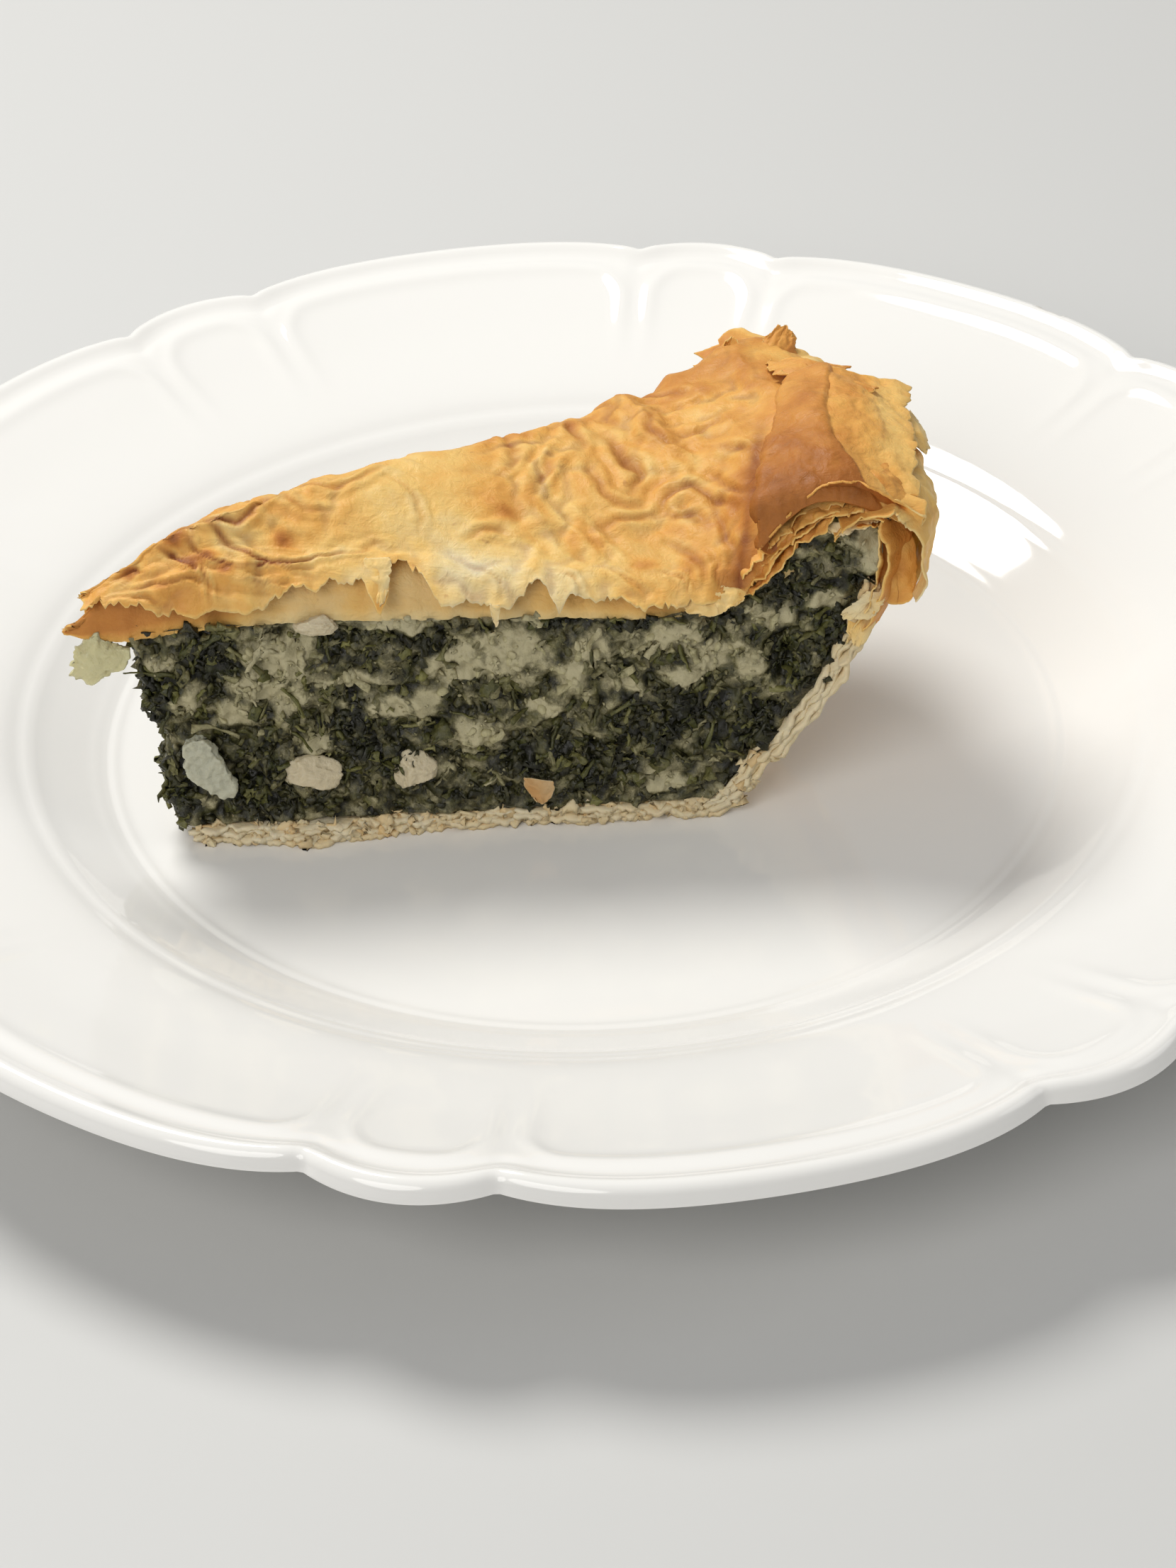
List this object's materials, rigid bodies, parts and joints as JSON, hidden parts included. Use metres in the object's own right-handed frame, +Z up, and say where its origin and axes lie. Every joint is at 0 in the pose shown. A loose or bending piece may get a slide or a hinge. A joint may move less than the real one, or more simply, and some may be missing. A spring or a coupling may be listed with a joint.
{
  "type": "spinach and feta pie slice on a plate",
  "caption": "Wedge of spinach and feta pie in flaky browned phyllo, cut faces showing the green filling, on a round white scalloped dinner plate with a shallow well.",
  "frame": {"origin": "centre of the plate's foot ring, on the surface that the plate stands on", "axes": "+Z up; +X runs within about two degrees of the front cut, from the pie's centre to its rim; -Y is the side that the front cut faces"},
  "size_m": [0.2694, 0.2694, 0.0682],
  "materials": {
    "white_china": "glossy white glaze",
    "browned_pastry": "buttered, baked phyllo, golden with brown creases",
    "pale_pastry": "pale baked phyllo, crumbly at the cut",
    "spinach_and_feta": "moist chopped spinach bound with feta and egg",
    "curd": "moist set egg and cheese",
    "feta": "moist white cheese"
  },
  "bodies": {
    "root": {"plate": "white_china", "crust_lid": "browned_pastry", "filling": "spinach_and_feta", "base_crust": "pale_pastry", "tip_curd": "curd", "feta_chip": "feta"}
  },
  "joints": []
}
